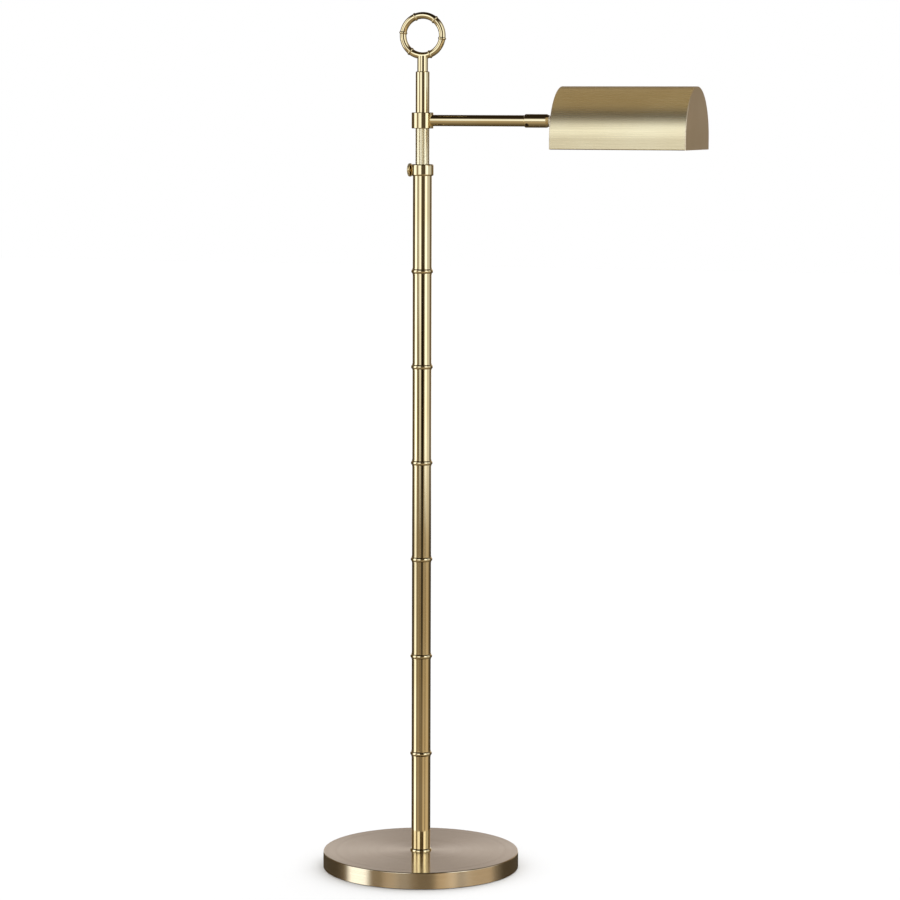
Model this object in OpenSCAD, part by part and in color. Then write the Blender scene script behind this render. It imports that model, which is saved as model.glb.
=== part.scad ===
// Adjustable arm floor lamp. Origin: centre of the base's underside, on the floor. +Z up, arm along +X.

/* [Base] */
// Diameter of the base plate
base_d = 254; // [200:1:320]
// Height of the base plate's top face above the floor
base_h = 21.9; // [20:0.1:30]
// Sheet thickness of the spun cover
cover_t = 1.4; // [0.8:0.1:2]
// Rounding along the cover's top edge
cover_round = 1.2; // [0.2:0.1:1.4]
// Thickness of the felt pad
felt_t = 2; // [1:0.5:3]
// Bore of the cord gland in the base's rear edge
gland_bore_d = 6.6; // [5:0.1:8]

/* [Column] */
// Outer diameter of the column tube
column_d = 24.6; // [24:0.1:30]
// Wall thickness of the column tube
column_wall = 1.5; // [1:0.1:1.6]
// Height of the column tube's top end
column_top = 897.5; // [840:0.5:1200]
// Number of node rings on the column
node_count = 6; // [1:1:6]
// Height of the lowest node ring
node_first = 150.1; // [60:0.1:160]
// Distance between the two lowest node rings
node_pitch = 128; // [90:0.5:135]
// How much shorter each distance between node rings is than the one below it
node_shrink = 1.4; // [0:0.1:3]
// Outer diameter of a node ring
node_d = 28.2; // [26:0.1:32]
// Height of a node ring's bead
node_h = 6; // [4:0.5:10]

/* [Collar and clamp] */
// Outer diameter of the collar on the column's top
collar_d = 28.9; // [27:0.1:34]
// Height of the collar
collar_h = 14.8; // [13:0.1:24]
// Length of the collar's spigot inside the column
spigot_h = 20; // [12:1:40]
// Diameter of the clamping screw
screw_d = 6; // [4:0.5:6]
// Diameter of the clamping screw's knob
knob_d = 17; // [12:0.5:24]
// Thickness of the clamping screw's knob
knob_t = 3.6; // [3:0.1:12]
// Number of flutes around the knob
knob_flutes = 28; // [12:1:32]

/* [Mast] */
// Outer diameter of the sliding mast
mast_d = 17.8; // [15.4:0.1:18.2]
// Height of the arm's hub above the floor, at its middle
hub_z = 967.7; // [960:0.1:1200]
// Diameter of the hub
hub_d = 28.1; // [24:0.1:34]
// Height of the hub
hub_h = 20.3; // [18:0.1:30]
// Length of the tube between the hub and the finial
top_tube_h = 51.8; // [40:0.1:90]
// Travel of the mast up from where it stands
lift_up = 254; // [100:1:300]

/* [Finial] */
// Outer diameter of the finial's ring
ring_d = 59.4; // [45:0.1:80]
// Thickness of the ring's round bar
ring_bar_d = 8.7; // [6:0.1:9.5]
// Diameter of the stem below the ring
stem_d = 13.8; // [12.8:0.1:16]
// How far the ring is turned about the mast from the arm's plane
ring_turn = 6; // [0:1:90]
// Number of beads around the ring
bead_count = 6; // [3:1:8]

/* [Arm] */
// Outer diameter of the arm tube
arm_d = 14.3; // [13:0.1:14.8]
// Outer diameter of the sleeve on the arm's end
sleeve_d = 17.1; // [16:0.1:19]
// Distance from the mast's axis to the sleeve
sleeve_x = 136; // [100:1:300]
// Length of the sleeve
sleeve_len = 32; // [30:1:50]

/* [Shade] */
// Length of the shade
shade_len = 173.2; // [170:0.1:240]
// Width of the shade, front to back
shade_w = 127.2; // [110:0.1:160]
// Height of the shade
shade_h = 78.4; // [74:0.1:100]
// Sheet thickness of the shade
shade_t = 1.2; // [0.8:0.1:2]
// How far the shade's lower edge hangs below the arm's axis
shade_drop = 35; // [30:0.1:38]

/* [Bulb] */
// Diameter of the tubular bulb
bulb_d = 30; // [26:1:32]
// Length of the bulb with its screw cap
bulb_len = 130; // [100:1:135]

/* [Hidden] */
fine = 96;
coarse = 24;
fit = 0.05;
loose = 0.3;
cut = 1;

base_r = base_d / 2;
felt_margin = 3;
weight_gap = 0.2;
cover_lip = felt_t / 2;
tie_r = 6;
tie_bore_r = 4.2;
tie_inset = 1.5;
tie_washer_r = 14;
tie_washer_t = 2;
tie_nut_flats = 19;
tie_nut_t = 6;
nut_pocket_r = 16;
nut_pocket_top = felt_t + 10;
gland_z = 9;
gland_r = 4.6;
gland_depth = 6;
gland_rim_t = 2;
gland_rim = 1.8;
gland_snap_t = 1.3;
gland_snap = 0.8;
channel_w = 13;
channel_top = 15;

column_r = column_d / 2;
bore_r = column_r - column_wall;
plug_h = 24;
node_r = node_d / 2;
node_swell = node_r - column_r;
node_round_r = (pow(node_h / 2, 2) + pow(node_swell, 2)) / (2 * node_swell);
node_band = 0.3;
node_band_h = node_h + 2.4;

collar_r = collar_d / 2;
collar_round = 2;
clamp_z = column_top + collar_h / 2;
mast_r = mast_d / 2;
collar_bore_r = mast_r + loose;
bush_r = collar_bore_r + 1;
bush_gap = 0.08;
screw_r = screw_d / 2;
pad_gap = 0.12;
pad_len = 1.8;
pad_x = mast_r + pad_gap;
pad_hole = 0.8;
tip_r = 1.2;
knob_r = knob_d / 2;
knob_x = collar_r + loose;
knob_round = 1.2;
flute_r = 0.6;
flute_out = 0.25;

mast_bore_r = 6.2;
nipple_wall = 1.7;
nipple_len = 24.5;
nipple_reach = 6.5;
mast_end_r = 7.5;
shoulder_gap = 0.1;
guide_h = 22;
guide_top = column_top - spigot_h - lift_up;
guide_bottom = guide_top - guide_h;
mast_bottom = guide_bottom - 5;
retainer_r = 9.4;
retainer_t = 2;
retainer_slit = 3;

hub_r = hub_d / 2;
hub_bevel = 0.7;
hub_bottom = hub_z - hub_h / 2;
hub_top = hub_z + hub_h / 2;
top_tube_bevel = 0.9;
top_tube_top = hub_top + top_tube_h;

ring_bar_r = ring_bar_d / 2;
ring_mean_r = ring_d / 2 - ring_bar_r;
stem_h = 15.4;
stem_plug = 20;
ring_z = top_tube_top + stem_h + ring_d / 2;
bead_w = 3.2;
bead_swell = 0.9;
bead_root = 2;
bead_round_r = (pow(bead_w / 2, 2) + pow(bead_swell, 2)) / (2 * bead_swell);
bead_turn = -8;

arm_r = arm_d / 2;
arm_bore_r = arm_r - 1;
arm_socket_x = 7;
arm_nipple_len = 24;
arm_start = hub_r - 4;
arm_end = sleeve_x + 12;
sleeve_r = sleeve_d / 2;
sleeve_bevel = 0.6;
sleeve_taper = 1.7;
sleeve_taper_len = 3.6;
sleeve_end = sleeve_x + sleeve_len;
sleeve_step = sleeve_x + 16.4;
grub_x = sleeve_x + 3.9;
grub_r = 2.5;
grub_hex_r = 1.4;
grub_hex_depth = 1.2;
grub_inset = 0.25;
grub_tilt = 128;

stud_r = 5;
stud_bore_r = 3.4;
stud_start = sleeve_step - 3.2;
clip_start = sleeve_step - 2.2;
clip_r = 6.4;
clip_t = 1.2;
clip_slit = 2;
washer_start = sleeve_end + 0.1;
washer_t = 0.9;
swivel_start = washer_start + washer_t;
swivel_neck_r = 6.6;
swivel_r = 7.2;
swivel_bevel = 0.6;
swivel_flange_r = 9.4;
swivel_flange_t = 2.2;
swivel_flare_len = 1.4;
shade_x = sleeve_end + 16.8;
cap_washer_r = 12;
cap_washer_t = 1.6;
swivel_end = shade_x - cap_washer_t;
shade_end = shade_x + shade_len;
arch_r = shade_w / 2;
skirt_h = shade_h - arch_r;
shade_bottom = hub_z - shade_drop;
hem_h = 3.4;
cap_edge = 0.5;

lock_washer_r = 10;
lock_washer_t = 1.2;
lock_washer_x = shade_x + shade_t;
lock_nut_flats = 15;
lock_nut_t = 4;
lock_nut_x = lock_washer_x + lock_washer_t;
socket_x = lock_nut_x + lock_nut_t + 0.8;
stud_end = socket_x + 4;
socket_len = 44;
socket_r = 16.8;
socket_bore_r = 14.6;
socket_back_r = 11;
socket_back_bore_r = 10;
socket_back_t = 2.5;
socket_dome_len = 7;
puck_x = socket_x + 5;
puck_len = 17;
puck_web = 5;
screw_shell_x = puck_x + puck_len;
screw_shell_len = 21;
contact_r = 4;
contact_t = 2.5;
bulb_x = screw_shell_x + contact_t;
bulb_r = bulb_d / 2;
bulb_wall = 1;
bulb_neck = 6;
bulb_neck_in = 3;
bulb_tip_r = 4.5;
bulb_tip_t = 1.5;
bulb_skirt_r = 10.5;
bulb_cap_r = 13.1;
bulb_cap_len = 23.5;
bulb_straight = bulb_len - bulb_cap_len - bulb_neck - bulb_r;
key_x = socket_x + 13;
key_r = 1.6;
key_boss_r = 2.4;
key_boss_z = 2;
key_paddle_r = 5;
key_paddle_t = 3.2;
key_top = hub_z - 7;
key_paddle_z = hub_z - socket_r - 2.6 - key_paddle_r;

// ---- shared shapes ----

module ring(outer_r, inner_r, h) {
    difference() {
        cylinder(r = outer_r, h = h, $fn = fine);
        translate([0, 0, -cut]) cylinder(r = inner_r, h = h + 2 * cut, $fn = fine);
    }
}

module hex_nut(across_flats, inner_r, h) {
    difference() {
        cylinder(r = across_flats / sqrt(3), h = h, $fn = 6);
        translate([0, 0, -cut]) cylinder(r = inner_r, h = h + 2 * cut, $fn = fine);
    }
}

// Half profile of a turned part from r0 to r1, with its two outer corners rounded.
module turned(r0, r1, h, round) {
    translate([r0, 0]) square([r1 - r0 - round, h]);
    translate([r0, round]) square([r1 - r0, h - 2 * round]);
    for (y = [round, h - round]) translate([r1 - round, y]) circle(r = round, $fn = fine);
}

// The bulge of a node ring, with its middle at height 0.
module node_bulge() {
    intersection() {
        translate([node_r - node_round_r, 0]) circle(r = node_round_r, $fn = fine);
        translate([column_r, -node_h]) square([node_swell, 2 * node_h]);
    }
}

// Turns a shape drawn along +Z so that it runs along the arm from x.
module along_arm(x) {
    translate([x, 0, hub_z]) rotate([0, 90, 0]) children();
}

// Turns a shape drawn along +Z so that it points out of the collar along -X.
module along_clamp() {
    translate([0, 0, clamp_z]) rotate([0, -90, 0]) children();
}

// Moves a shape drawn along +Z to the axis of the small screw in the sleeve.
module grub_axis() {
    translate([grub_x, 0, hub_z]) rotate([grub_tilt, 0, 0]) children();
}

// Moves a shape drawn along +Z to the switch key's axis, at height z.
module key_axis(z) {
    translate([key_x, 0, z]) children();
}

// The shade's end outline, smaller all round by inset, in the YZ plane and run along +X.
module arch(x, len, inset) {
    r = arch_r - inset;
    translate([x, 0, shade_bottom]) rotate([90, 0, 90]) linear_extrude(height = len)
        union() {
            translate([-r, 0]) square([2 * r, skirt_h]);
            intersection() {
                translate([0, skirt_h]) circle(r = r, $fn = fine);
                translate([-r, skirt_h]) square([2 * r, r + cut]);
            }
        }
}

// ---- base ----

module base_felt() {
    color("#2b2f2c") cylinder(r = base_r - felt_margin, h = felt_t, $fn = fine);
}

// Cast disc with a pocket for the tie nut and a channel for the cord, from the rear edge to the middle.
module base_weight() {
    weight_r = base_r - cover_t - weight_gap;
    color("#4a4a4c") difference() {
        translate([0, 0, felt_t]) cylinder(r = weight_r, h = base_h - cover_t - felt_t, $fn = fine);
        cylinder(r = tie_r, h = base_h, $fn = fine);
        translate([0, 0, -cut]) cylinder(r = nut_pocket_r, h = nut_pocket_top + cut, $fn = fine);
        translate([-channel_w / 2, 0, -cut]) cube([channel_w, base_r, channel_top + cut]);
    }
}

module cover_profile() {
    round_start = [base_r - cover_round, base_h - cover_round];
    translate([tie_r, base_h - cover_t]) square([round_start[0] - tie_r, cover_t]);
    translate([base_r - cover_t, cover_lip]) square([cover_t, round_start[1] - cover_lip]);
    intersection() {
        translate(round_start) circle(r = cover_round, $fn = fine);
        translate(round_start) square(cover_round);
    }
}

module base_cover() {
    color("#b8a27c") difference() {
        rotate_extrude($fn = 2 * fine) cover_profile();
        translate([0, base_r + cut, gland_z]) rotate([90, 0, 0])
            cylinder(r = gland_r, h = gland_depth, $fn = fine);
    }
}

module tie_tube() {
    len = base_h + plug_h - felt_t - 2 * tie_inset;
    color("#a89060") translate([0, 0, felt_t + tie_inset]) ring(tie_r, tie_bore_r, len);
}

module tie_washer() {
    color("#9a9a9c") translate([0, 0, nut_pocket_top - tie_washer_t]) ring(tie_washer_r, tie_r, tie_washer_t);
}

module tie_nut() {
    color("#9a9a9c") translate([0, 0, nut_pocket_top - tie_washer_t - tie_nut_t])
        hex_nut(tie_nut_flats, tie_r, tie_nut_t);
}

// Snap-in bush that lines the cord's hole in the base's rear edge.
module cord_gland() {
    start = base_r - gland_depth;
    snap = base_r - cover_t - gland_snap_t - loose;
    len = gland_depth + gland_rim_t;
    color("#2a2420") translate([0, 0, gland_z]) rotate([-90, 0, 0]) difference() {
        union() {
            translate([0, 0, start]) cylinder(r = gland_r, h = len, $fn = fine);
            translate([0, 0, snap]) cylinder(r = gland_r + gland_snap, h = gland_snap_t, $fn = fine);
            translate([0, 0, base_r]) cylinder(r = gland_r + gland_rim, h = gland_rim_t, $fn = fine);
        }
        translate([0, 0, start - cut]) cylinder(r = gland_bore_d / 2, h = len + 2 * cut, $fn = fine);
    }
}

// ---- column ----

// Threaded plug that ties the column's foot to the base.
module column_plug() {
    color("#a89060") translate([0, 0, base_h]) ring(bore_r, tie_r, plug_h);
}

module foot_ring() {
    color("#c6ac6c") translate([0, 0, base_h]) rotate_extrude($fn = fine)
        intersection() {
            node_bulge();
            square([node_r, node_h]);
        }
}

module column_tube() {
    color("#c6ac6c") translate([0, 0, base_h]) ring(column_r, bore_r, column_top - base_h);
}

// Ring number i from below; the distances between the rings shrink evenly upwards.
module node_ring(i) {
    z = node_first + (i - 1) * node_pitch - node_shrink * (i - 1) * (i - 2) / 2;
    color("#c6ac6c") translate([0, 0, z]) rotate_extrude($fn = fine)
        union() {
            node_bulge();
            translate([column_r, -node_band_h / 2]) square([node_band, node_band_h]);
        }
}

// Collar whose spigot sits in the column's top; a radial hole takes the clamping screw.
module collar() {
    color("#c6ac6c") difference() {
        union() {
            translate([0, 0, column_top]) rotate_extrude($fn = fine)
                turned(collar_bore_r, collar_r, collar_h, collar_round);
            translate([0, 0, column_top - spigot_h]) ring(bore_r, bush_r, spigot_h);
        }
        along_clamp() cylinder(r = screw_r + fit, h = collar_r + cut, $fn = fine);
    }
}

module collar_bush() {
    color("#e8e2d0") translate([0, 0, column_top - spigot_h]) ring(bush_r, mast_r + bush_gap, spigot_h);
}

// ---- clamp ----

// Soft tip that presses on the mast; the screw turns behind it.
module clamp_pad() {
    color("#e8e2d0") along_clamp() difference() {
        translate([0, 0, pad_x]) cylinder(r = screw_r - 2 * fit, h = pad_len, $fn = fine);
        translate([0, 0, pad_x + pad_hole]) cylinder(r = tip_r + fit, h = pad_len, $fn = fine);
    }
}

module thumb_screw() {
    color("#c6ac6c") along_clamp() difference() {
        union() {
            translate([0, 0, pad_x + pad_hole + 2 * fit]) cylinder(r = tip_r, h = pad_len, $fn = fine);
            translate([0, 0, pad_x + pad_len + fit]) cylinder(r = screw_r, h = knob_x - pad_x, $fn = fine);
            translate([0, 0, knob_x]) rotate_extrude($fn = fine) turned(0, knob_r, knob_t, knob_round);
        }
        for (i = [0:knob_flutes - 1]) rotate([0, 0, i * 360 / knob_flutes])
            translate([knob_r + flute_out, 0, knob_x - cut])
                cylinder(r = flute_r, h = knob_t + 2 * cut, $fn = coarse);
    }
}

// ---- mast ----

// Bush that guides the mast's lower end along the column's bore; the mast turns in it.
module guide_bush() {
    color("#e8e2d0") translate([0, 0, guide_bottom]) ring(bore_r - fit, mast_end_r + fit, guide_h);
}

module retaining_ring() {
    color("#8c8c90") translate([0, 0, guide_bottom - shoulder_gap - retainer_t]) difference() {
        ring(retainer_r, mast_end_r, retainer_t);
        translate([mast_end_r - cut, -retainer_slit / 2, -cut])
            cube([retainer_r, retainer_slit, retainer_t + 2 * cut]);
    }
}

// Tube with a thinner lower end, which turns in the guide bush.
module mast_tube() {
    shoulder = guide_top + shoulder_gap;
    color("#c6ac6c") union() {
        translate([0, 0, mast_bottom]) ring(mast_end_r, mast_bore_r, shoulder - mast_bottom);
        translate([0, 0, shoulder]) ring(mast_r, mast_bore_r, hub_bottom - shoulder);
    }
}

module mast_nipple() {
    color("#a89060") translate([0, 0, hub_bottom + nipple_reach - nipple_len])
        ring(mast_bore_r, mast_bore_r - nipple_wall, nipple_len);
}

// Tee that joins the mast, the upper tube and the arm, hollow for the flex.
module arm_hub() {
    color("#c6ac6c") difference() {
        translate([0, 0, hub_bottom]) rotate_extrude($fn = fine) polygon([
            [mast_bore_r, 0],
            [hub_r - hub_bevel, 0],
            [hub_r, hub_bevel],
            [hub_r, hub_h - hub_bevel],
            [hub_r - hub_bevel, hub_h],
            [mast_bore_r, hub_h]]);
        along_arm(0) cylinder(r = arm_bore_r - nipple_wall, h = hub_r, $fn = fine);
        along_arm(arm_socket_x) cylinder(r = arm_bore_r, h = hub_r, $fn = fine);
    }
}

module top_nipple() {
    color("#a89060") translate([0, 0, hub_top - nipple_reach])
        ring(mast_bore_r, mast_bore_r - nipple_wall, nipple_len);
}

module top_tube() {
    color("#c6ac6c") translate([0, 0, hub_top]) rotate_extrude($fn = fine) polygon([
        [mast_bore_r, 0],
        [mast_r, 0],
        [mast_r, top_tube_h - top_tube_bevel],
        [mast_r - top_tube_bevel, top_tube_h],
        [mast_bore_r, top_tube_h]]);
}

// ---- finial ----

// Moves a shape drawn about the origin to the ring's middle and turns it with the ring.
module at_ring() {
    translate([0, 0, ring_z]) rotate([0, 0, ring_turn]) children();
}

module ring_bar() {
    at_ring() rotate([90, 0, 0])
        rotate_extrude($fn = fine) translate([ring_mean_r, 0]) circle(r = ring_bar_r, $fn = fine);
}

module finial_stem() {
    color("#c6ac6c") difference() {
        union() {
            translate([0, 0, top_tube_top - stem_plug])
                cylinder(r = mast_bore_r, h = stem_plug + cut, $fn = fine);
            translate([0, 0, top_tube_top]) cylinder(r = stem_d / 2, h = stem_h + ring_bar_r, $fn = fine);
        }
        ring_bar();
    }
}

// Band around the ring's bar, drawn about +Z.
module ring_bead() {
    rotate_extrude($fn = fine) intersection() {
        translate([ring_bar_r + bead_swell - bead_round_r, 0]) circle(r = bead_round_r, $fn = fine);
        translate([ring_bar_r - bead_root, -bead_w]) square([bead_root + bead_swell, 2 * bead_w]);
    }
}

module finial_ring() {
    color("#c6ac6c") union() {
        ring_bar();
        for (i = [0:bead_count - 1])
            at_ring() rotate([0, -bead_turn - i * 360 / bead_count, 0])
                translate([ring_mean_r, 0, 0]) ring_bead();
    }
}

// ---- arm ----

module arm_nipple() {
    color("#a89060") along_arm(arm_socket_x) ring(arm_bore_r, arm_bore_r - nipple_wall, arm_nipple_len);
}

module arm_tube() {
    color("#c6ac6c") difference() {
        along_arm(arm_start) ring(arm_r, arm_bore_r, arm_end - arm_start);
        translate([0, 0, hub_bottom]) cylinder(r = hub_r, h = hub_h, $fn = fine);
    }
}

module arm_sleeve() {
    color("#b8a068") difference() {
        along_arm(sleeve_x) rotate_extrude($fn = fine) polygon([
            [arm_r, 0],
            [sleeve_r - sleeve_bevel, 0],
            [sleeve_r, sleeve_bevel],
            [sleeve_r, sleeve_len - sleeve_taper_len],
            [sleeve_r - sleeve_taper, sleeve_len],
            [stud_r + fit, sleeve_len],
            [stud_r + fit, sleeve_step - sleeve_x],
            [arm_r, sleeve_step - sleeve_x]]);
        grub_axis() cylinder(r = grub_r, h = sleeve_r + cut, $fn = fine);
    }
}

module sleeve_screw() {
    color("#5a4a30") grub_axis() difference() {
        translate([0, 0, arm_r]) cylinder(r = grub_r, h = sleeve_r - arm_r - grub_inset, $fn = fine);
        translate([0, 0, sleeve_r - grub_hex_depth])
            cylinder(r = grub_hex_r, h = grub_hex_depth + cut, $fn = 6);
    }
}

// ---- swivel between arm and shade ----

module swivel_stud() {
    color("#a89060") along_arm(stud_start) ring(stud_r, stud_bore_r, stud_end - stud_start);
}

module swivel_clip() {
    color("#8c8c90") along_arm(clip_start) difference() {
        ring(clip_r, stud_r, clip_t);
        translate([stud_r - cut, -clip_slit / 2, -cut]) cube([clip_r, clip_slit, clip_t + 2 * cut]);
    }
}

module friction_washer() {
    color("#e8e2d0") along_arm(washer_start) ring(swivel_neck_r, stud_r, washer_t);
}

module swivel_body() {
    len = swivel_end - swivel_start;
    color("#b8a068") along_arm(swivel_start) rotate_extrude($fn = fine) polygon([
        [stud_r, 0],
        [swivel_neck_r, 0],
        [swivel_r, swivel_bevel],
        [swivel_r, len - swivel_flange_t - swivel_flare_len],
        [swivel_flange_r, len - swivel_flange_t],
        [swivel_flange_r, len],
        [stud_r, len]]);
}

module cap_washer() {
    color("#b8a068") along_arm(swivel_end) ring(cap_washer_r, stud_r, cap_washer_t);
}

module lock_washer() {
    color("#9a9a9c") along_arm(lock_washer_x) ring(lock_washer_r, stud_r, lock_washer_t);
}

module lock_nut() {
    color("#9a9a9c") along_arm(lock_nut_x) hex_nut(lock_nut_flats, stud_r, lock_nut_t);
}

// ---- shade ----

module shade_inner_cap() {
    color("#a58f62") difference() {
        arch(shade_x, shade_t, 0);
        along_arm(shade_x - cut) cylinder(r = stud_r, h = shade_t + 2 * cut, $fn = fine);
    }
}

// End plate whose outer edge is bevelled around the arch and down both sides.
module shade_outer_cap() {
    start = shade_end - cap_edge;
    color("#a58f62") union() {
        arch(shade_end - shade_t, shade_t - cap_edge, 0);
        translate([0, 0, shade_bottom]) linear_extrude(height = skirt_h) polygon([
            [start, -arch_r],
            [start, arch_r],
            [shade_end, arch_r - cap_edge],
            [shade_end, cap_edge - arch_r]]);
        translate([start, 0, shade_bottom + skirt_h]) rotate([0, 90, 0]) intersection() {
            cylinder(r1 = arch_r, r2 = arch_r - cap_edge, h = cap_edge, $fn = fine);
            translate([-arch_r - cut, -arch_r - cut, 0]) cube([arch_r + cut, shade_w + 2 * cut, cap_edge]);
        }
    }
}

// Section of the fold along one lower edge, in the YZ plane: the sheet turned up inside itself.
module hem() {
    translate([arch_r - shade_t, 0]) union() {
        translate([-shade_t, shade_t]) square([2 * shade_t, hem_h - shade_t]);
        intersection() {
            translate([0, shade_t]) circle(r = shade_t, $fn = fine);
            translate([-shade_t, 0]) square([2 * shade_t, shade_t]);
        }
    }
}

// Arched sheet between the two caps, open below, with a rounded fold along both lower edges.
module shade_shell() {
    x = shade_x + shade_t;
    len = shade_len - 2 * shade_t;
    color("#c2a968") union() {
        difference() {
            arch(x, len, 0);
            translate([0, 0, -cut]) arch(x - cut, len + 2 * cut, shade_t);
            translate([x - cut, -arch_r + shade_t, shade_bottom - cut])
                cube([len + 2 * cut, 2 * (arch_r - shade_t), skirt_h + cut]);
            translate([x - cut, -arch_r - cut, shade_bottom - cut])
                cube([len + 2 * cut, shade_w + 2 * cut, shade_t + cut]);
        }
        for (side = [0, 1]) translate([x, 0, shade_bottom]) rotate([90, 0, 90]) mirror([side, 0, 0])
            linear_extrude(height = len) hem();
    }
}

// ---- socket, switch and bulb ----

module socket_shell() {
    color("#26221f") difference() {
        along_arm(socket_x) rotate_extrude($fn = fine) polygon([
            [stud_r, 0],
            [socket_back_r, 0],
            [socket_r, socket_dome_len],
            [socket_r, socket_len],
            [socket_bore_r, socket_len],
            [socket_bore_r, puck_x - socket_x],
            [socket_back_bore_r, socket_back_t],
            [stud_r, socket_back_t]]);
        key_axis(hub_z - socket_r - cut) cylinder(r = key_r + fit, h = socket_r, $fn = fine);
    }
}

module socket_puck() {
    color("#efe9dc") difference() {
        along_arm(puck_x) cylinder(r = socket_bore_r, h = puck_len, $fn = fine);
        key_axis(hub_z - socket_r) cylinder(r = key_r + fit, h = socket_r - puck_web, $fn = fine);
    }
}

module screw_shell() {
    color("#c9a85c") along_arm(screw_shell_x) ring(socket_bore_r, bulb_cap_r + loose, screw_shell_len);
}

module centre_contact() {
    color("#c9a85c") along_arm(screw_shell_x) cylinder(r = contact_r, h = contact_t, $fn = fine);
}

// Turn key of the switch: a stem into the socket with a flat paddle below it.
module switch_key() {
    color("#26221f") union() {
        key_axis(key_paddle_z) cylinder(r = key_r, h = key_top - key_paddle_z, $fn = fine);
        key_axis(key_paddle_z + key_boss_z) cylinder(r = key_boss_r, h = key_paddle_r, $fn = fine);
        key_axis(key_paddle_z) rotate([90, 0, 0]) translate([0, 0, -key_paddle_t / 2])
            cylinder(r = key_paddle_r, h = key_paddle_t, $fn = fine);
    }
}

module bulb_cap() {
    color("#c8c8c6") along_arm(bulb_x) rotate_extrude($fn = fine) polygon([
        [0, 0],
        [bulb_tip_r, 0],
        [bulb_tip_r + 0.5, bulb_tip_t],
        [bulb_skirt_r, bulb_tip_r],
        [bulb_cap_r, bulb_tip_r],
        [bulb_cap_r, bulb_cap_len],
        [0, bulb_cap_len]]);
}

// Tubular envelope, open at the cap.
module bulb_glass() {
    color("#f4f1e6") along_arm(bulb_x + bulb_cap_len) difference() {
        bulb_form(bulb_r);
        translate([0, 0, -0.001]) bulb_form(bulb_r - bulb_wall);
    }
}

module bulb_form(r) {
    cylinder(r1 = r - bulb_neck_in, r2 = r, h = bulb_neck, $fn = fine);
    translate([0, 0, bulb_neck]) cylinder(r = r, h = bulb_straight, $fn = fine);
    translate([0, 0, bulb_neck + bulb_straight]) intersection() {
        sphere(r = r, $fn = fine);
        cylinder(r = r + cut, h = r + cut, $fn = fine);
    }
}

// ---- nodes ----

base_felt();
base_weight();
base_cover();
tie_tube();
tie_washer();
tie_nut();
cord_gland();
column_plug();
foot_ring();
column_tube();
for (i = [1:node_count])
    node_ring(i);
collar();
collar_bush();
clamp_pad();
thumb_screw();
guide_bush();
retaining_ring();
mast_tube();
mast_nipple();
arm_hub();
top_nipple();
top_tube();
finial_stem();
finial_ring();
arm_nipple();
arm_tube();
arm_sleeve();
sleeve_screw();
swivel_stud();
swivel_clip();
friction_washer();
swivel_body();
cap_washer();
shade_inner_cap();
shade_shell();
shade_outer_cap();
lock_washer();
lock_nut();
socket_shell();
socket_puck();
screw_shell();
centre_contact();
switch_key();
bulb_cap();
bulb_glass();
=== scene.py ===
"""Looks, stage, light and camera for the adjustable arm floor lamp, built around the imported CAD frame.

Lengths are in metres and angles in degrees, in the frame of the CAD: +Z up, the arm along +X.
"""

import math

import bpy
from mathutils import Matrix, Vector


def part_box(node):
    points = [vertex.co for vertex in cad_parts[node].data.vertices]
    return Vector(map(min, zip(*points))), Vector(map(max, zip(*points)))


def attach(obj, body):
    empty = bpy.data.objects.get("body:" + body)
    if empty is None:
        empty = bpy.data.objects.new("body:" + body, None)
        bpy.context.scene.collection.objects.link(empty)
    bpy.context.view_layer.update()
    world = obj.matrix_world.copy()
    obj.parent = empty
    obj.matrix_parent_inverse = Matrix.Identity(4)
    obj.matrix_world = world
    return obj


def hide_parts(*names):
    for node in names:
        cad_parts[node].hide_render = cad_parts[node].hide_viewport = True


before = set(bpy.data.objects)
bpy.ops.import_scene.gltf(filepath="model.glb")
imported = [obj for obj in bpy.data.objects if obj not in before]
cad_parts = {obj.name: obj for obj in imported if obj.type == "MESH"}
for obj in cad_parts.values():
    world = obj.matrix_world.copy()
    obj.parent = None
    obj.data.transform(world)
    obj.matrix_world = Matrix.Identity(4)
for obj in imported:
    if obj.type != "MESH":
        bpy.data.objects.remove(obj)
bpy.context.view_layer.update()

MM = 0.001
CAMERA_AZIMUTH = 17.92  # from -Y towards +X


# ---- shader helpers ----


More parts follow.
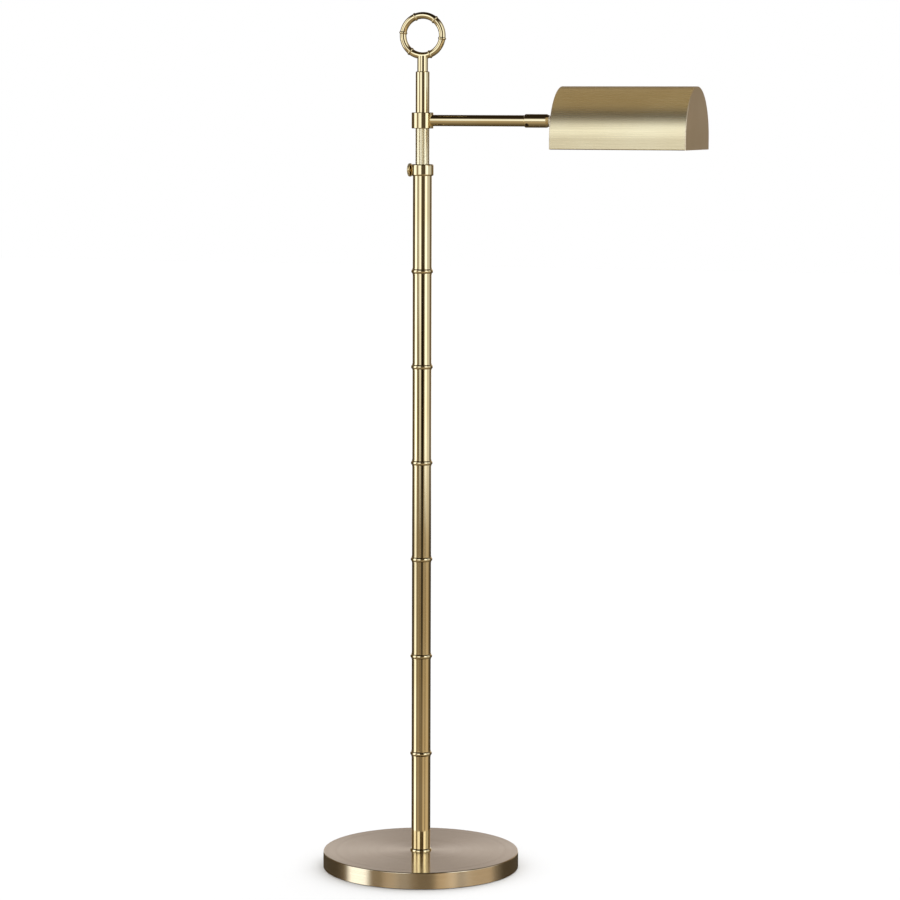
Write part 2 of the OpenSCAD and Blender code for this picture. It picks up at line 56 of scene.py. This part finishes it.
class Graph:
    """Adds nodes to a material's or the world's tree and links whatever is passed in as an input."""

    def __init__(self, tree):
        self.tree = tree

    def add(self, kind, inputs=None, **settings):
        node = self.tree.nodes.new("ShaderNode" + kind)
        for key, value in settings.items():
            setattr(node, key, value)
        for key, value in (inputs or {}).items():
            self.feed(node.inputs[key], value)
        return node

    def feed(self, socket, value):
        if isinstance(value, bpy.types.NodeSocket):
            self.tree.links.new(value, socket)
        else:
            socket.default_value = value

    def math(self, operation, *values):
        node = self.add("Math", operation=operation)
        for socket, value in zip(node.inputs, values):
            self.feed(socket, value)
        return node.outputs[0]

    def vector(self, operation, *values):
        node = self.add("VectorMath", operation=operation)
        for socket, value in zip(node.inputs, values):
            self.feed(socket, value)
        return node.outputs[0]

    def scaled(self, vector, factor):
        node = self.add("VectorMath", {"Vector": vector, "Scale": factor}, operation="SCALE")
        return node.outputs[0]

    def smooth(self, value, low, high, to_low=0.0, to_high=1.0):
        """Goes smoothly from to_low at low to to_high at high."""
        inputs = {"Value": value, "From Min": low, "From Max": high, "To Min": to_low, "To Max": to_high}
        return self.add("MapRange", inputs, interpolation_type="SMOOTHSTEP").outputs[0]

    def spread(self, value, to_low, to_high, low=0.3, high=0.7):
        """Stretches the middle of a noise value over a range."""
        inputs = {"Value": value, "From Min": low, "From Max": high, "To Min": to_low, "To Max": to_high}
        return self.add("MapRange", inputs).outputs[0]

    def mix(self, factor, first, second):
        inputs = {"Factor": factor, "A": first, "B": second}
        node = self.add("Mix", data_type="RGBA")
        sockets = [s for s in node.inputs if s.enabled]
        for socket in sockets:
            self.feed(socket, inputs[socket.name])
        return [s for s in node.outputs if s.enabled][0]

    def noise(self, vector, scale, detail=2.0):
        return self.add("TexNoise", {"Vector": vector, "Scale": scale, "Detail": detail}).outputs["Fac"]

    def stretched(self, vector, scale):
        return self.add("Mapping", {"Vector": vector, "Scale": scale}).outputs[0]

    def bump(self, height, strength, distance):
        inputs = {"Height": height, "Strength": strength, "Distance": distance}
        return self.add("Bump", inputs).outputs[0]


def rgb(red, green, blue):
    return (red, green, blue, 1.0)


def material(name):
    """A new material, its Graph, its Principled shader and its object coordinates."""
    made = bpy.data.materials.new(name)
    made.use_nodes = True
    graph = Graph(made.node_tree)
    shader = made.node_tree.nodes["Principled BSDF"]
    place = graph.add("TexCoord").outputs["Object"]
    return made, graph, shader, place


def around(graph, place, axis):
    """Distance from an axis through the origin and place along it, as a vector for turned surfaces."""
    parts = graph.add("SeparateXYZ", {"Vector": place})
    across = [i for i in range(3) if i != axis]
    squares = [graph.math("POWER", parts.outputs[i], 2.0) for i in across]
    radius = graph.math("SQRT", graph.math("ADD", *squares))
    return graph.add("CombineXYZ", {"X": radius, "Y": 0.0, "Z": parts.outputs[axis]}).outputs[0]


# ---- brass ----

BRASS_LIGHT = rgb(0.91, 0.765, 0.455)
BRASS_DEEP = rgb(0.87, 0.70, 0.385)
BRUSH_MARK = rgb(0.55, 0.42, 0.24)
ARM_START = 0.033  # Pieces farther out along +X than this lie along the arm.
MARK_THINNESS = 0.004  # Width of a brush mark against its length


def brass_colour(graph, place, light=BRASS_LIGHT, deep=BRASS_DEEP):
    """Slow drift of colour over the metal."""
    drift = graph.noise(place, 14.0, 3.0)
    return graph.mix(graph.spread(drift, 0.0, 1.0, 0.36, 0.64), light, deep)


def tube_brass(name, low, high, light=BRASS_LIGHT, deep=BRASS_DEEP):
    """Lacquered tube and turned fittings, polished along their length, with roughness from low to high."""
    made, graph, shader, place = material(name)
    haze = graph.noise(place, 30.0, 2.0)
    upright = graph.noise(graph.stretched(place, (2200.0, 2200.0, 40.0)), 1.0, 2.0)
    sideways = graph.noise(graph.stretched(place, (40.0, 2200.0, 2200.0)), 1.0, 2.0)
    on_arm = graph.math("GREATER_THAN", graph.add("SeparateXYZ", {"Vector": place}).outputs[0], ARM_START)
    off_arm = graph.math("SUBTRACT", 1.0, on_arm)
    wipe = graph.math("ADD", graph.math("MULTIPLY", upright, off_arm), graph.math("MULTIPLY", sideways, on_arm))
    blend = graph.math("ADD", graph.math("MULTIPLY", haze, 0.6), graph.math("MULTIPLY", wipe, 0.4))
    shader.inputs["Metallic"].default_value = 1.0
    graph.feed(shader.inputs["Base Color"], brass_colour(graph, place, light, deep))
    graph.feed(shader.inputs["Roughness"], graph.spread(blend, low, high))
    graph.feed(shader.inputs["Normal"], graph.bump(wipe, 0.012, 0.00001))
    return made


def polished_brass():
    return tube_brass("polished_brass", low=0.05, high=0.08)


def satin_brass():
    # Paler than the polished tubes' brass: the satin tube's own tone, lightened as a painted sheen for the light
    # that the mast catches.
    return tube_brass("satin_brass", low=0.24, high=0.28, light=rgb(0.97, 0.86, 0.57),
                      deep=rgb(0.94, 0.81, 0.51))


def brushed_sheet(name, lines, tangent_axis, roughness, anisotropy, turn, streaks, light, deep):
    """Brass sheet with brush lines.

    lines scales the coordinates so that the marks lie along the brushing. turn is the anisotropy's rotation in
    turns, and streaks is how far the marks darken the metal.
    """
    made, graph, shader, place = material(name)
    fine = graph.noise(lines(graph, place, 5200.0), 1.0, 2.0)
    coarse = graph.noise(lines(graph, place, 900.0), 1.0, 3.0)
    blend = graph.math("ADD", graph.math("MULTIPLY", fine, 0.55), graph.math("MULTIPLY", coarse, 0.45))
    tone = brass_colour(graph, place, light, deep)
    shade = graph.mix(graph.spread(blend, 0.0, streaks, 0.35, 0.65), tone, BRUSH_MARK)
    tangent = graph.add("Tangent", direction_type="RADIAL", axis=tangent_axis).outputs[0]
    shader.inputs["Metallic"].default_value = 1.0
    shader.inputs["Anisotropic"].default_value = anisotropy
    shader.inputs["Anisotropic Rotation"].default_value = turn
    graph.feed(shader.inputs["Tangent"], tangent)
    graph.feed(shader.inputs["Base Color"], shade)
    graph.feed(shader.inputs["Roughness"], graph.spread(blend, roughness - 0.05, roughness + 0.05))
    graph.feed(shader.inputs["Normal"], graph.bump(blend, 0.05, 0.00002))
    return made


def lines_along_x(graph, place, count):
    return graph.stretched(place, (count * MARK_THINNESS, count, count))


def lines_round_z(graph, place, count):
    return graph.stretched(around(graph, place, 2), (count, count, count))


def brushed_brass():
    return brushed_sheet("brushed_brass", lines_along_x, "X", roughness=0.285, anisotropy=0.6, turn=0.0,
                         streaks=0.12, light=rgb(0.90, 0.78, 0.50), deep=rgb(0.86, 0.73, 0.45))


def cap_brass():
    return brushed_sheet("cap_brass", lines_along_x, "X", roughness=0.34, anisotropy=0.3, turn=0.0,
                         streaks=0.08, light=rgb(0.86, 0.73, 0.52), deep=rgb(0.81, 0.68, 0.46))


def base_brass():
    return brushed_sheet("base_brass", lines_round_z, "Z", roughness=0.20, anisotropy=0.7, turn=0.25,
                         streaks=0.30, light=rgb(0.90, 0.755, 0.525), deep=rgb(0.86, 0.705, 0.475))


def plain_brass():
    """Machined brass of the inner fittings, with turning marks."""
    made, graph, shader, place = material("plain_brass")
    marks = graph.noise(graph.stretched(place, (1500.0, 120.0, 1500.0)), 1.0, 2.0)
    shader.inputs["Metallic"].default_value = 1.0
    tone = brass_colour(graph, place, rgb(0.82, 0.64, 0.33), rgb(0.70, 0.52, 0.26))
    graph.feed(shader.inputs["Base Color"], tone)
    graph.feed(shader.inputs["Roughness"], graph.spread(marks, 0.24, 0.40))
    graph.feed(shader.inputs["Normal"], graph.bump(marks, 0.12, 0.00005))
    return made


# ---- the other materials ----


def plated(name, light, deep, low, high):
    """Plated or blackened steel with a fine mottled surface."""
    made, graph, shader, place = material(name)
    mottle = graph.noise(place, 420.0, 4.0)
    shader.inputs["Metallic"].default_value = 1.0
    graph.feed(shader.inputs["Base Color"], graph.mix(graph.spread(mottle, 0.0, 1.0), light, deep))
    graph.feed(shader.inputs["Roughness"], graph.spread(mottle, low, high))
    graph.feed(shader.inputs["Normal"], graph.bump(mottle, 0.10, 0.00005))
    return made


def dark_screw():
    return plated("dark_screw", rgb(0.20, 0.15, 0.09), rgb(0.12, 0.09, 0.05), low=0.28, high=0.42)


def steel():
    return plated("steel", rgb(0.62, 0.62, 0.63), rgb(0.48, 0.48, 0.50), low=0.25, high=0.42)


def bulb_metal():
    return plated("bulb_metal", rgb(0.80, 0.79, 0.76), rgb(0.66, 0.65, 0.62), low=0.18, high=0.32)


def cast_iron():
    """Sand-cast iron with a coarse grain."""
    made, graph, shader, place = material("cast_iron")
    grain = graph.noise(place, 700.0, 5.0)
    pits = graph.add("TexVoronoi", {"Vector": place, "Scale": 260.0}).outputs["Distance"]
    height = graph.math("ADD", grain, graph.math("MULTIPLY", pits, 0.6))
    shader.inputs["Metallic"].default_value = 0.7
    tone = graph.mix(graph.spread(grain, 0.0, 1.0), rgb(0.10, 0.10, 0.105), rgb(0.045, 0.045, 0.05))
    graph.feed(shader.inputs["Base Color"], tone)
    graph.feed(shader.inputs["Roughness"], graph.spread(grain, 0.55, 0.8))
    graph.feed(shader.inputs["Normal"], graph.bump(height, 0.6, 0.0004))
    return made


def felt():
    """Pressed wool: matted fibres over a soft uneven ground."""
    made, graph, shader, place = material("felt")
    mat = graph.noise(place, 260.0, 6.0)
    fibre = graph.noise(graph.stretched(place, (2600.0, 500.0, 900.0)), 1.0, 3.0)
    cross = graph.noise(graph.stretched(place, (500.0, 2600.0, 900.0)), 1.0, 3.0)
    height = graph.math("ADD", graph.math("ADD", fibre, cross), mat)
    shader.inputs["Sheen Weight"].default_value = 0.4
    shader.inputs["Sheen Roughness"].default_value = 0.5
    shader.inputs["Specular IOR Level"].default_value = 0.2
    # Darker where the fibres lie low: the felt's own mottle, with painted shade in its hollows.
    fibre_mottle_and_hollow_shade = graph.spread(height, 0.0, 1.0, 1.2, 1.8)
    tone = graph.mix(fibre_mottle_and_hollow_shade, rgb(0.018, 0.024, 0.020), rgb(0.060, 0.072, 0.062))
    graph.feed(shader.inputs["Base Color"], tone)
    graph.feed(shader.inputs["Roughness"], graph.spread(mat, 0.88, 1.0))
    graph.feed(shader.inputs["Normal"], graph.bump(height, 0.7, 0.0005))
    return made


def moulded(name, light, deep, low, high, grain, strength):
    """Moulded plastic or glazed ceramic with a fine surface texture."""
    made, graph, shader, place = material(name)
    cloud = graph.noise(place, 60.0, 3.0)
    texture = graph.noise(place, grain, 3.0)
    graph.feed(shader.inputs["Base Color"], graph.mix(graph.spread(cloud, 0.0, 1.0), light, deep))
    graph.feed(shader.inputs["Roughness"], graph.spread(texture, low, high))
    graph.feed(shader.inputs["Normal"], graph.bump(texture, strength, 0.0001))
    return made


def black_bush():
    return moulded("black_bush", rgb(0.022, 0.020, 0.018), rgb(0.034, 0.031, 0.028),
                   low=0.40, high=0.55, grain=1800.0, strength=0.25)


def nylon():
    made = moulded("nylon", rgb(0.74, 0.71, 0.62), rgb(0.68, 0.64, 0.54),
                   low=0.38, high=0.52, grain=900.0, strength=0.12)
    shader = made.node_tree.nodes["Principled BSDF"]
    shader.inputs["Subsurface Weight"].default_value = 0.15
    shader.inputs["Subsurface Radius"].default_value = (0.002, 0.002, 0.0015)
    return made


def phenolic():
    return moulded("phenolic", rgb(0.020, 0.015, 0.012), rgb(0.032, 0.022, 0.016),
                   low=0.22, high=0.34, grain=1400.0, strength=0.10)


def porcelain():
    made = moulded("porcelain", rgb(0.82, 0.79, 0.71), rgb(0.77, 0.73, 0.64),
                   low=0.12, high=0.24, grain=350.0, strength=0.10)
    made.node_tree.nodes["Principled BSDF"].inputs["Coat Weight"].default_value = 0.4
    return made


def opal_glass():
    """Opal-coated bulb glass: milky, with a faint unevenness in the coating."""
    made, graph, shader, place = material("opal_glass")
    coating = graph.noise(place, 70.0, 4.0)
    shader.inputs["Subsurface Weight"].default_value = 0.35
    shader.inputs["Subsurface Radius"].default_value = (0.004, 0.004, 0.004)
    shader.inputs["Coat Weight"].default_value = 0.5
    shader.inputs["Coat Roughness"].default_value = 0.05
    tone = graph.mix(graph.spread(coating, 0.0, 1.0), rgb(0.88, 0.88, 0.86), rgb(0.80, 0.80, 0.77))
    graph.feed(shader.inputs["Base Color"], tone)
    graph.feed(shader.inputs["Roughness"], graph.spread(coating, 0.16, 0.26))
    return made


FINISHES = {make.__name__: make() for make in (
    polished_brass, satin_brass, brushed_brass, cap_brass, base_brass, plain_brass, dark_screw, steel, bulb_metal,
    cast_iron, felt, black_bush, nylon, phenolic, porcelain, opal_glass)}


def dress_cad_nodes():
    """Gives every CAD node the finish of its material slot."""
    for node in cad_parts.values():
        for holder in node.material_slots:
            holder.material = FINISHES[holder.material.name.split(".")[0]]


dress_cad_nodes()


# ---- screw threads of the bulb and its socket ----

THREAD_PITCH = 3.63 * MM
THREAD_STEPS = 8  # rows of points in a pitch
THREAD_SIDES = 72  # points in a row
RUN_OUT = 1.5 * MM
CAP_THREAD_DEPTH = 1.0 * MM
SHELL_THREAD_DEPTH = 0.9 * MM
INSULATOR_LENGTH = 5.5 * MM
CAP_COLLAR = 4.0 * MM


def turned_piece(name, rows, finish):
    """A turned surface round the arm's axis, open at its ends. rows holds (x, function from angle to radius)."""
    low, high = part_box("bulb_cap")
    height = (low.z + high.z) / 2
    points = []
    for x, radius in rows:
        for step in range(THREAD_SIDES):
            angle = 2 * math.pi * step / THREAD_SIDES
            r = radius(angle)
            points.append((x, r * math.cos(angle), height + r * math.sin(angle)))
    faces = []
    for row in range(len(rows) - 1):
        for step in range(THREAD_SIDES):
            a = row * THREAD_SIDES + step
            b = row * THREAD_SIDES + (step + 1) % THREAD_SIDES
            faces.append((a, b, b + THREAD_SIDES, a + THREAD_SIDES))
    mesh = bpy.data.meshes.new(name)
    mesh.from_pydata(points, [], faces)
    mesh.shade_smooth()
    mesh.materials.append(FINISHES[finish])
    made = bpy.data.objects.new(name, mesh)
    bpy.context.scene.collection.objects.link(made)
    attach(made, "shade")
    return made


def plain_rows(profile):
    """Rows of a plain turned shape from (x, radius) points."""
    return [(x, lambda angle, r=r: r) for x, r in profile]


def thread_rows(start, end, crest, root, fade):
    """Rows of a rounded screw thread from start to end, which runs out into the crest over fade at both ends."""
    count = round((end - start) / THREAD_PITCH * THREAD_STEPS)
    rows = []
    for index in range(count + 1):
        x = start + (end - start) * index / count
        weight = min(1.0, (x - start) / fade, (end - x) / fade)
        turn = 2 * math.pi * (x - start) / THREAD_PITCH

        def radius(angle, turn=turn, weight=weight):
            return crest + (root - crest) * weight * (0.5 - 0.5 * math.cos(turn - angle))

        rows.append((x, radius))
    return rows


def bulb_base():
    """Rolled screw cap, its black glass insulator and the centre contact, in place of the plain cap."""
    low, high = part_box("bulb_cap")
    radius = (high.y - low.y) / 2
    shoulder = low.x + INSULATOR_LENGTH
    collar = high.x - CAP_COLLAR
    lip = plain_rows([(shoulder - 0.6 * MM, radius - 2.6 * MM), (shoulder, radius - 1.0 * MM)])
    neck = plain_rows([(collar + 0.8 * MM, radius - 0.1 * MM), (high.x, radius - 0.1 * MM),
                       (high.x, radius - 1.2 * MM)])
    thread = thread_rows(shoulder + 0.6 * MM, collar, radius, radius - CAP_THREAD_DEPTH, RUN_OUT)
    cap = turned_piece("bulb_cap_thread", lip + thread + neck, "bulb_metal")
    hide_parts("bulb_cap")
    turned_piece("bulb_insulator", plain_rows([
        (low.x + 1.0 * MM, 3.6 * MM), (low.x + 1.4 * MM, 5.4 * MM), (low.x + 2.6 * MM, 7.6 * MM),
        (shoulder - 1.2 * MM, 10.0 * MM), (shoulder - 0.6 * MM, radius - 2.6 * MM)]), "phenolic")
    turned_piece("bulb_contact", plain_rows([
        (low.x, 0.2 * MM), (low.x + 0.1 * MM, 2.2 * MM), (low.x + 0.6 * MM, 3.8 * MM),
        (low.x + 1.3 * MM, 4.4 * MM), (low.x + 1.6 * MM, 4.2 * MM)]), "bulb_metal")


def socket_thread():
    """Rolled screw shell of the socket, in place of the plain one."""
    low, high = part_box("screw_shell")
    outer = (high.y - low.y) / 2 - 0.1 * MM
    thread = thread_rows(low.x + 1.0 * MM, high.x - 1.2 * MM, outer, outer - SHELL_THREAD_DEPTH, RUN_OUT)
    lip = plain_rows([(high.x - 0.6 * MM, outer), (high.x, outer - 0.2 * MM), (high.x, outer - 0.5 * MM)])
    back = plain_rows([(low.x, outer - 1.1 * MM), (low.x + 0.2 * MM, outer)])
    shell = turned_piece("screw_shell_thread", back + thread + lip, "plain_brass")
    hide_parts("screw_shell")


bulb_base()
socket_thread()


# ---- stage ----

FLOOR_HALF = 15.0


def floor():
    """Wide pale floor. The metal reflects the studio instead of it, as it would past a floor's end."""
    mesh = bpy.data.meshes.new("floor")
    corners = [(x * FLOOR_HALF, y * FLOOR_HALF, 0.0) for x, y in ((-1, -1), (1, -1), (1, 1), (-1, 1))]
    mesh.from_pydata(corners, [], [(0, 1, 2, 3)])
    made = bpy.data.objects.new("floor", mesh)
    bpy.context.scene.collection.objects.link(made)
    paint, graph, shader, place = material("floor_paint")
    drift = graph.noise(place, 0.8, 2.0)
    graph.feed(shader.inputs["Base Color"], graph.mix(drift, rgb(0.90, 0.90, 0.90), rgb(0.88, 0.88, 0.88)))
    shader.inputs["Roughness"].default_value = 0.9
    shader.inputs["Specular IOR Level"].default_value = 0.0
    mesh.materials.append(paint)
    made.visible_glossy = False


COOL = (0.90, 1.0, 1.15)
WARM = (1.20, 1.0, 0.76)

# Each panel of the studio: azimuth from the camera's side (positive to its right), half width, lowest and
# highest elevation, softness of the edges, brightness, tint.
PANELS = {
    "left_wall": (-79, 16, -6.8, 40, 5, 1.40, COOL),
    "left_gap": (-53, 8, -6.8, 40, 4, 0.12, WARM),
    "left_strip": (-22, 10, -6.8, 34, 4, 0.80, COOL),
    "left_high": (-29, 16, -4, 34, 5, 0.45, COOL),
    "left_hot": (-33, 14, 7, 25, 5, 0.25, COOL),
    "left_spill": (-38, 7, -3, 30, 4, 0.42, COOL),
    "flag_haze": (7, 9, -2.5, 40, 4, 0.09, WARM),
    "right_panel": (45, 13, -6.8, 40, 5, 1.35, COOL),
    "right_side": (78, 26, -7.2, 40, 9, 0.55, COOL),
    "left_floor": (-80, 15, -24, -6.8, 5, 1.35, COOL),
    "left_glow": (-37, 8, -24, -12, 6, 0.26, WARM),
    "right_glow": (30, 13, -24, -12, 7, 0.48, WARM),
    "right_side_glow": (74, 20, -16, -7.5, 7, 0.34, WARM),
    "back_left": (-168, 9, -6.8, 6, 4, 1.3, COOL),
    "back_right": (168, 9, -6.8, 6, 4, 1.3, COOL),
    "rear_right": (146, 16, -6.8, 34, 8, 0.16, WARM),
    "backdrop": (180, 40, 8, 18, 5, 0.49, (1.0, 1.0, 1.12)),
}
ROOM = rgb(0.105, 0.080, 0.055)
CEILING = rgb(0.022, 0.016, 0.010)
FLOOR_NEAR = rgb(0.230, 0.188, 0.138)
FLOOR_LOW = rgb(0.32, 0.27, 0.20)
NADIR = rgb(0.16, 0.13, 0.09)
FLOOR_BEHIND = 0.3  # brightness of the floor behind the lamp against the rest
HORIZON = -6.8
CEILING_EDGE = 42.0

# The flag is a dark strip that stands between the lamp and the camera, from a little below the horizon up.
FLAG_AZIMUTH = 7.5
FLAG_HALF_WIDTH = 11.0
FLAG_DARKNESS = 0.05
FLAG_FOOT = -10.5

WHITE = rgb(1.0, 1.0, 1.0)
DOME = 0.955  # brightness that matt surfaces see

SUN_ENERGY = 0.9
SUN_WIDTH = 60.0
SUN_DIRECTION = (-0.26, -0.82, -1.0)


def flag(graph, azimuth, elevation):
    """Share of the room's light that the flag lets through."""
    off = graph.math("ABSOLUTE", graph.math("SUBTRACT", azimuth, FLAG_AZIMUTH))
    shade = graph.smooth(off, FLAG_HALF_WIDTH - 3, FLAG_HALF_WIDTH + 3, FLAG_DARKNESS, 1.0)
    reach = graph.smooth(elevation, FLAG_FOOT - 1.5, FLAG_FOOT + 1.5)
    return graph.math("ADD", graph.math("MULTIPLY", shade, reach), graph.math("SUBTRACT", 1.0, reach))


def panel_glow(graph, azimuth, elevation, centre, half, low, high, soft, brightness, tint):
    """Light of one panel of PANELS in a direction."""
    off = graph.math("WRAP", graph.math("SUBTRACT", azimuth, float(centre)), 180.0, -180.0)
    across = graph.smooth(graph.math("ABSOLUTE", off), half - soft, half + soft, 1.0, 0.0)
    foot = 1.2 if low > -10 else 3.0
    up = graph.smooth(elevation, low - foot, low + foot)
    down = graph.smooth(elevation, high - 1.2 * soft, high + 1.2 * soft, 1.0, 0.0)
    mask = graph.math("MULTIPLY", across, graph.math("MULTIPLY", up, down))
    colour = graph.add("CombineXYZ", dict(zip("XYZ", tint))).outputs[0]
    return graph.scaled(colour, graph.math("MULTIPLY", mask, brightness))


def studio_world():
    """White to the camera, nearly so to matt surfaces; panels, dark ceiling and brown floor to reflections."""
    world = bpy.data.worlds.new("studio")
    bpy.context.scene.world = world
    world.use_nodes = True
    world.node_tree.nodes.clear()
    graph = Graph(world.node_tree)
    ray = graph.add("TexCoord").outputs["Generated"]
    turned = graph.add("VectorRotate", {"Vector": ray, "Angle": math.radians(-CAMERA_AZIMUTH)},
                       rotation_type="Z_AXIS").outputs[0]
    parts = graph.add("SeparateXYZ", {"Vector": turned})
    to_camera = graph.math("MULTIPLY", parts.outputs[1], -1.0)
    azimuth = graph.math("DEGREES", graph.math("ARCTAN2", parts.outputs[0], to_camera))
    elevation = graph.math("DEGREES", graph.math("ARCSINE", parts.outputs[2]))

    low = graph.mix(graph.smooth(elevation, -62.0, -46.0), NADIR, FLOOR_LOW)
    below = graph.mix(graph.smooth(elevation, -27.0, -15.0), low, FLOOR_NEAR)
    below = graph.scaled(below, graph.smooth(to_camera, -0.45, 0.0, FLOOR_BEHIND, 1.0))
    level = graph.mix(graph.smooth(elevation, HORIZON - 1.2, HORIZON + 1.2), below, ROOM)
    total = graph.mix(graph.smooth(elevation, CEILING_EDGE - 3, CEILING_EDGE + 5), level, CEILING)
    total = graph.scaled(total, flag(graph, azimuth, elevation))
    for panel in PANELS.values():
        total = graph.vector("ADD", total, panel_glow(graph, azimuth, elevation, *panel))
    lit = graph.add("Background", {"Color": total, "Strength": 1.0}).outputs[0]
    white = graph.add("Background", {"Color": WHITE, "Strength": 1.0}).outputs[0]
    dome = graph.add("Background", {"Color": WHITE, "Strength": DOME}).outputs[0]
    path = graph.add("LightPath").outputs
    mixed = graph.add("MixShader", {0: path["Is Diffuse Ray"], 1: lit, 2: dome}).outputs[0]
    seen = graph.add("MixShader", {0: path["Is Camera Ray"], 1: mixed, 2: white}).outputs[0]
    graph.add("OutputWorld", {"Surface": seen})
    world.cycles.sampling_method = "NONE"


def soft_sun():
    """Broad light from behind on the right that casts a faint shadow forwards; metal doesn't mirror it."""
    data = bpy.data.lights.new("soft_sun", "SUN")
    data.energy = SUN_ENERGY
    data.angle = math.radians(SUN_WIDTH)
    made = bpy.data.objects.new("soft_sun", data)
    bpy.context.scene.collection.objects.link(made)
    made.rotation_euler = Vector(SUN_DIRECTION).to_track_quat("-Z", "Y").to_euler()
    made.visible_glossy = False


def panel_light(name, size, place, aim, energy, colour, lit_nodes):
    """Rectangular light at place, facing aim, that lights lit_nodes only, as if screened from the rest."""
    data = bpy.data.lights.new(name, "AREA")
    data.shape = "RECTANGLE"
    data.size, data.size_y = size
    data.energy = energy
    data.color = colour
    made = bpy.data.objects.new(name, data)
    bpy.context.scene.collection.objects.link(made)
    made.location = place
    made.rotation_euler = (Vector(aim) - Vector(place)).to_track_quat("-Z", "Y").to_euler()
    made.visible_camera = False
    lit = bpy.data.collections.new(f"lit_by_{name}")
    for node in lit_nodes:
        lit.objects.link(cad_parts[node])
    made.light_linking.receiver_collection = lit


def panel_lights():
    """Warm panel above and behind for the shade, and a pale strip in front that fills the mast's middle."""
    panel_light("shade_light", size=(3.0, 2.5), place=(-0.1, 0.55, 2.25), aim=(-0.1, 0.55, 0.0), energy=6.6,
                colour=(1.15, 0.94, 0.62), lit_nodes=("shade_shell", "shade_inner_cap", "shade_outer_cap"))
    panel_light("mast_light", size=(0.55, 1.6), place=(1.20, -2.75, 0.95), aim=(0.0, 0.0, 0.95), energy=3.0,
                colour=(1.0, 0.98, 0.92), lit_nodes=("mast_tube",))


# ---- camera ----

CAMERA_DISTANCE = 4.0037
CAMERA_HEIGHT = 0.9802
CAMERA_YAW = 0.520
CAMERA_PITCH = 6.187
CAMERA_ROLL = 0.189
LENS = 125.215
SENSOR = 36.0


def camera():
    """Stands in front of the lamp and a little to its right, just above the arm, looking slightly down."""
    data = bpy.data.cameras.new("camera")
    data.lens = LENS
    data.sensor_width = SENSOR
    data.clip_end = 100.0
    made = bpy.data.objects.new("camera", data)
    bpy.context.scene.collection.objects.link(made)
    turn = math.radians(CAMERA_AZIMUTH)
    place = Vector((CAMERA_DISTANCE * math.sin(turn), -CAMERA_DISTANCE * math.cos(turn), CAMERA_HEIGHT))
    aim = turn - math.radians(CAMERA_YAW)
    pitch = math.radians(CAMERA_PITCH)
    forward = Vector((-math.sin(aim) * math.cos(pitch), math.cos(aim) * math.cos(pitch), -math.sin(pitch)))
    level = forward.cross(Vector((0.0, 0.0, 1.0))).normalized()
    upright = level.cross(forward)
    roll = math.radians(CAMERA_ROLL)
    right = level * math.cos(roll) + upright * math.sin(roll)
    up = upright * math.cos(roll) - level * math.sin(roll)
    made.matrix_world = Matrix.Translation(place) @ Matrix((right, up, -forward)).transposed().to_4x4()
    bpy.context.scene.camera = made


floor()
studio_world()
soft_sun()
panel_lights()
camera()
bpy.context.scene.view_settings.view_transform = "Standard"
